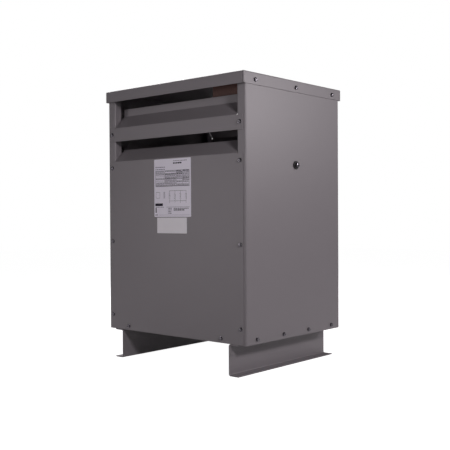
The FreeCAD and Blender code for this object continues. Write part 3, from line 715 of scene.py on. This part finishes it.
dark, pale = 1, 2                           # places of the two inks among the nameplate's materials
plate = {
    "corner": 3 * mm,
    "inkHeight": 0.02 * mm,
    "margin": 5.5,                          # millimetres
    "rule": 0.7,                            # thickness of a ruled line, in millimetres
    "barLength": (3.0, 9.0),
    "barGap": (1.0, 1.8),
    # rows of bars: start, height on the plate and length as shares, thickness in millimetres, ink
    "rowsAbove": [
        (0.53, 0.953, 0.42, 1.8, pale),
        (0.53, 0.908, 0.26, 4.2, dark),
        (0.0, 0.853, 0.31, 2.4, pale),
        (0.0, 0.816, 0.31, 2.4, pale),
    ],
    "rowsBelow": [
        (0.38, 0.140, 0.10, 2.4, pale),
        (0.38, 0.112, 0.10, 2.4, pale),
        (0.38, 0.084, 0.10, 2.4, pale),
        (0.38, 0.056, 0.10, 2.4, pale),
        (0.54, 0.140, 0.44, 2.0, dark),
        (0.54, 0.108, 0.32, 3.6, dark),
    ],
    "ratingTable": {
        "rows": 10,
        "rowHeight": 0.026,                 # share of the plate's height, as is the top
        "top": 0.800,
        "columns": (0.0, 0.28, 0.62, 0.80, 1.0),
        "filled": 0.85,                     # chance that a cell holds bars
        "bold": 0.25,                       # chance that they are bold
        "inset": 1.5,                       # millimetres from a column's rule to the bars
        "lift": 0.28,                       # of the bars in their row, a share of its height
        "boldBar": 0.55,                    # thickness, a share of the row's height
        "thinBar": 0.40,
        "under": 2.6,                       # millimetres down to the lower edge of the last line
        "underRule": 1.6,
    },
    "windingChart": {                       # millimetres, and shares of the printed width
        "base": 0.30,                       # share of the plate's height
        "loops": 4,
        "pitch": 4.6,
        "coils": 4,
        "firstCoil": 0.42,
        "coilStep": 0.16,
        "busLength": 0.48,
        "leadAbove": 7,
        "leadBelow": 11,
        "lowerBus": 5,                      # under the coils
        "tap": 4,
        "lift": 4,                          # of the frame and the list beside the coils
        "frameInset": 2,
        "frameWidth": 0.12,
        "listPlace": 0.24,
        "listWidth": 0.05,
        "listRows": 7,
        "listStep": 2.9,
        "listBar": 1.2,
    },
}


def addPlate(mesh, low, high, corner):
    # a thin plate with round corners, facing -Y
    left, right = low.x + corner, high.x - corner
    bottom, top = low.z + corner, high.z - corner
    centres = ((right, top), (left, top), (left, bottom), (right, bottom))
    points = []
    for quarter, (centreX, centreZ) in enumerate(centres):
        for step in range(7):
            angle = math.radians(90 * quarter + 15 * step)
            points.append((centreX + corner * math.cos(angle), centreZ + corner * math.sin(angle)))
    rings = [[(x, y, z) for x, z in points] for y in (high.y, low.y)]
    stackRings(mesh, rings, Matrix())


class Print:                                # lays fields of ink on a plate, in millimetres from its corner
    def __init__(self, mesh, low, high):
        self.mesh = mesh
        self.low = low
        self.front = low.y
        self.width = (high.x - low.x) / mm
        self.height = (high.z - low.z) / mm

    def point(self, x, z, lift):
        return self.mesh.verts.new((self.low.x + x * mm, self.front - lift, self.low.z + z * mm))

    def field(self, x, z, width, height, finish=dark):
        corners = [(x, z), (x + width, z), (x + width, z + height), (x, z + height)]
        back = [self.point(u, v, 0) for u, v in corners]
        face = [self.point(u, v, plate["inkHeight"]) for u, v in corners]
        made = [self.mesh.faces.new(face), self.mesh.faces.new(back[::-1])]
        for index in range(4):
            after = (index + 1) % 4
            made.append(self.mesh.faces.new((back[index], back[after], face[after], face[index])))
        for each in made:
            each.material_index = finish

    def box(self, x, z, width, height):
        rule = plate["rule"]
        self.field(x, z, width, rule)
        self.field(x, z + height - rule, width, rule)
        self.field(x, z + rule, rule, height - 2 * rule)
        self.field(x + width - rule, z + rule, rule, height - 2 * rule)

    def bars(self, x, z, width, dice, height, finish):
        # a row of short bars of uneven length
        end = x + width
        while x < end - plate["barLength"][0]:
            length = min(dice.uniform(*plate["barLength"]), end - x)
            self.field(x, z, length, height, finish)
            x += length + dice.uniform(*plate["barGap"])

    def coil(self, x, z, loops, pitch):
        # a winding's symbol: half rings one above the other on a lead
        for loop in range(loops):
            middle = z + (loop + 0.5) * pitch
            for step in range(6):
                first, last = (math.radians(-90 + 180 * (step + more) / 6) for more in (0, 1))
                self.arcStep(x, middle, pitch / 2, first, last)

    def arcStep(self, x, z, radius, first, last):
        inner = radius - plate["rule"]
        spots = [(inner, first), (radius, first), (radius, last), (inner, last)]
        corners = [self.point(x + out * math.cos(turn), z + out * math.sin(turn), plate["inkHeight"])
                   for out, turn in spots]
        self.mesh.faces.new(corners).material_index = dark


def makeNameplate():
    low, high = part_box("nameplate")
    mesh = bmesh.new()
    addPlate(mesh, low, high, plate["corner"])
    dice = random.Random(5)
    page = Print(mesh, low, high)
    left = plate["margin"]
    wide = page.width - 2 * left
    tall = page.height
    for start, up, length, height, finish in plate["rowsAbove"]:
        page.bars(left + wide * start, tall * up, wide * length, dice, height, finish)
    makeRatingTable(page, left, wide, dice)
    makeWindingChart(page, left, wide)
    # blocks, rules and bars at the plate's foot, in millimetres or as shares of the print
    page.field(left - 1.5, tall * 0.188, wide * 0.23, tall * 0.046)
    page.bars(left, tall * 0.163, wide * 0.28, dice, 1.6, pale)
    page.field(left + wide * 0.32, tall * 0.168, wide * 0.68, plate["rule"])
    page.field(left, tall * 0.070, 4, 15)
    for start, up, length, height, finish in plate["rowsBelow"]:
        page.bars(left + wide * start, tall * up, wide * length, dice, height, finish)
    page.field(left - 2, tall * 0.028, 12, 1.8)
    page.field(left + 14, tall * 0.030, wide - 14, plate["rule"], pale)
    materials = [finishes["nameplate_film"], ink, paleInk]
    finishPiece("nameplateWithFields", mesh, "nameplate_film", materials, ["nameplate"])


def makeRatingTable(page, left, wide, dice):
    size = plate["ratingTable"]
    rows, columns, inset = size["rows"], size["columns"], size["inset"]
    rowHeight = page.height * size["rowHeight"]
    top = page.height * size["top"]
    low = top - rows * rowHeight
    page.box(left, low, wide, top - low)
    for share in columns[1:-1]:
        page.field(left + wide * share, low, plate["rule"], top - low)
    for row in range(rows):
        height = low + row * rowHeight
        page.field(left, height, wide, plate["rule"])
        for start, end in zip(columns, columns[1:]):
            if dice.random() < size["filled"]:
                bold = dice.random() < size["bold"]
                thick = rowHeight * size["boldBar" if bold else "thinBar"]
                page.bars(left + wide * start + inset, height + rowHeight * size["lift"],
                          wide * (end - start) - 2 * inset, dice, thick, dark if bold else pale)
    page.field(left, low - size["under"], wide, size["underRule"])


def makeWindingChart(page, left, wide):
    size = plate["windingChart"]
    rule = plate["rule"]
    loops, pitch, tap = size["loops"], size["pitch"], size["tap"]
    base = page.height * size["base"]
    top = base + loops * pitch
    side = base + size["lift"]
    page.box(left + size["frameInset"], side, wide * size["frameWidth"], top - base)
    for row in range(size["listRows"]):
        page.field(left + wide * size["listPlace"], side + size["listStep"] * row,
                   wide * size["listWidth"], size["listBar"], pale)
    for index in range(size["coils"]):
        x = left + wide * (size["firstCoil"] + size["coilStep"] * index)
        page.coil(x, base, loops, pitch)
        page.field(x - rule / 2, top, rule, size["leadAbove"])
        page.field(x - rule / 2, base - size["leadBelow"], rule, size["leadBelow"])
        for step in range(loops):
            page.field(x - tap, base + (step + 0.5) * pitch, tap, rule)
    first, length = left + wide * size["firstCoil"], wide * size["busLength"]
    page.field(first, base - size["lowerBus"], length, rule)
    page.field(first, top + size["leadAbove"], length, rule)


sticker = {"corner": 2 * mm}


def makeSticker():
    low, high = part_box("lower_sticker")
    mesh = bmesh.new()
    addPlate(mesh, low, high, sticker["corner"])
    finishPiece("plainSticker", mesh, "sticker_film", replaced=["lower_sticker"])


makeNameplate()
makeSticker()
print("labels made")


# Light, floor and background

lamps = {
    "keyLamp": {"place": (2.01, -1.05, 1.24), "aim": (0.2, -0.1, 0.80), "size": (0.28, 0.28), "power": 10.8},
    "rearSideLamp": {"place": (1.85, 1.29, 1.08), "aim": (0.2, 0.1, 0.75),
                     "size": (0.36, 0.36), "power": 7.6},
    "frontLamp": {"place": (0.95, -2.20, 0.80), "aim": (0.0, 0.0, 0.45), "size": (0.40, 0.40), "power": 2.0},
    "leftLamp": {"place": (-1.37, -1.95, 0.60), "aim": (0.0, 0.0, 0.45), "size": (0.30, 1.00), "power": 2.8},
    "rearLamp": {"place": (-1.90, 1.30, 2.20), "aim": (0.0, 0.0, 0.45), "size": (1.20, 0.80), "power": 24},
    "topLamp": {"place": (-0.40, 0.30, 2.60), "aim": (0.0, 0.0, 0.40), "size": (1.60, 1.60), "power": 4},
}
studio = {
    "spread": 150,                          # degrees, of every lamp
    "warmth": (1.0, 0.945, 0.975),          # colour of every lamp
    "mirrored": 0.15,                       # strength of the horizon and floor in reflections
    "ceiling": 0.04,                        # and of the world straight above
    "floorSize": 14.0,
    "floorColour": (0.80, 0.80, 0.80),
    "floorGlow": 0.99,                      # added for the camera, so that lit floor is white
}


def makeLamps():
    for name, lamp in lamps.items():
        data = bpy.data.lights.new(name, "AREA")
        data.shape = "RECTANGLE"
        data.size, data.size_y = lamp["size"]
        data.energy = lamp["power"]
        data.color = studio["warmth"]
        data.spread = math.radians(studio["spread"])
        holder = bpy.data.objects.new(name, data)
        place = Vector(lamp["place"])
        toward = Vector(lamp["aim"]) - place
        holder.matrix_world = Matrix.Translation(place) @ toward.to_track_quat("-Z", "Y").to_matrix().to_4x4()
        scene.collection.objects.link(holder)


def raysOf(kit, *kinds):
    # 1 where a ray is of one of these kinds
    paths = [kit.node("ShaderNodeLightPath", output="Is %s Ray" % kind) for kind in kinds]
    found = paths[0]
    for other in paths[1:]:
        found = found.maths("MAXIMUM", found, other)
    return found


def makeWorld():
    # white to the camera, and in reflections dim at the horizon and dimmer above
    world = bpy.data.worlds.new("studio")
    world.use_nodes = True
    scene.world = world
    kit = NodeKit(world.node_tree)
    direction = kit.node("ShaderNodeTexCoord", output="Generated")
    height = abs(kit.node("ShaderNodeSeparateXYZ", None, {0: direction}, "Z"))
    shape = {"interpolation_type": "SMOOTHSTEP"}
    above = {"Value": height, "From Min": 0.1, "From Max": 0.6, "To Min": studio["mirrored"],
             "To Max": studio["ceiling"]}
    mirrored = raysOf(kit, "Glossy") * kit.node("ShaderNodeMapRange", shape, above)
    seen = mirrored.maths("MAXIMUM", mirrored, raysOf(kit, "Camera", "Transmission"))
    background = world.node_tree.nodes["Background"]
    kit.feed(background.inputs["Strength"], seen)
    background.inputs["Color"].default_value = (1, 1, 1, 1)


def makeFloor():
    mesh = bmesh.new()
    bmesh.ops.create_grid(mesh, x_segments=1, y_segments=1, size=studio["floorSize"] / 2)
    data = bpy.data.meshes.new("floor")
    mesh.to_mesh(data)
    mesh.free()
    floor = bpy.data.objects.new("floor", data)
    scene.collection.objects.link(floor)
    paper = Finish("floorPaper", Roughness=0.9, Specular_IOR_Level=0.1)
    shade = paper.noise(3, 2)
    paper.setShader({"Base_Color": paper.tinted(studio["floorColour"], shade, 0.01)})
    direct = raysOf(paper, "Camera", "Transmission") * studio["floorGlow"]
    mirrored = raysOf(paper, "Glossy") * studio["mirrored"]
    glow = paper.node("ShaderNodeEmission", None, {"Strength": direct.maths("MAXIMUM", direct, mirrored)})
    matte = Wire(paper, paper.shader.outputs[0])
    bright = paper.node("ShaderNodeAddShader", None, {0: matte, 1: glow})
    paper.feed(paper.tree.nodes["Material Output"].inputs["Surface"], bright)
    data.materials.append(paper.material)


makeLamps()
makeWorld()
makeFloor()
scene.view_settings.view_transform = "Standard"
print("studio made")
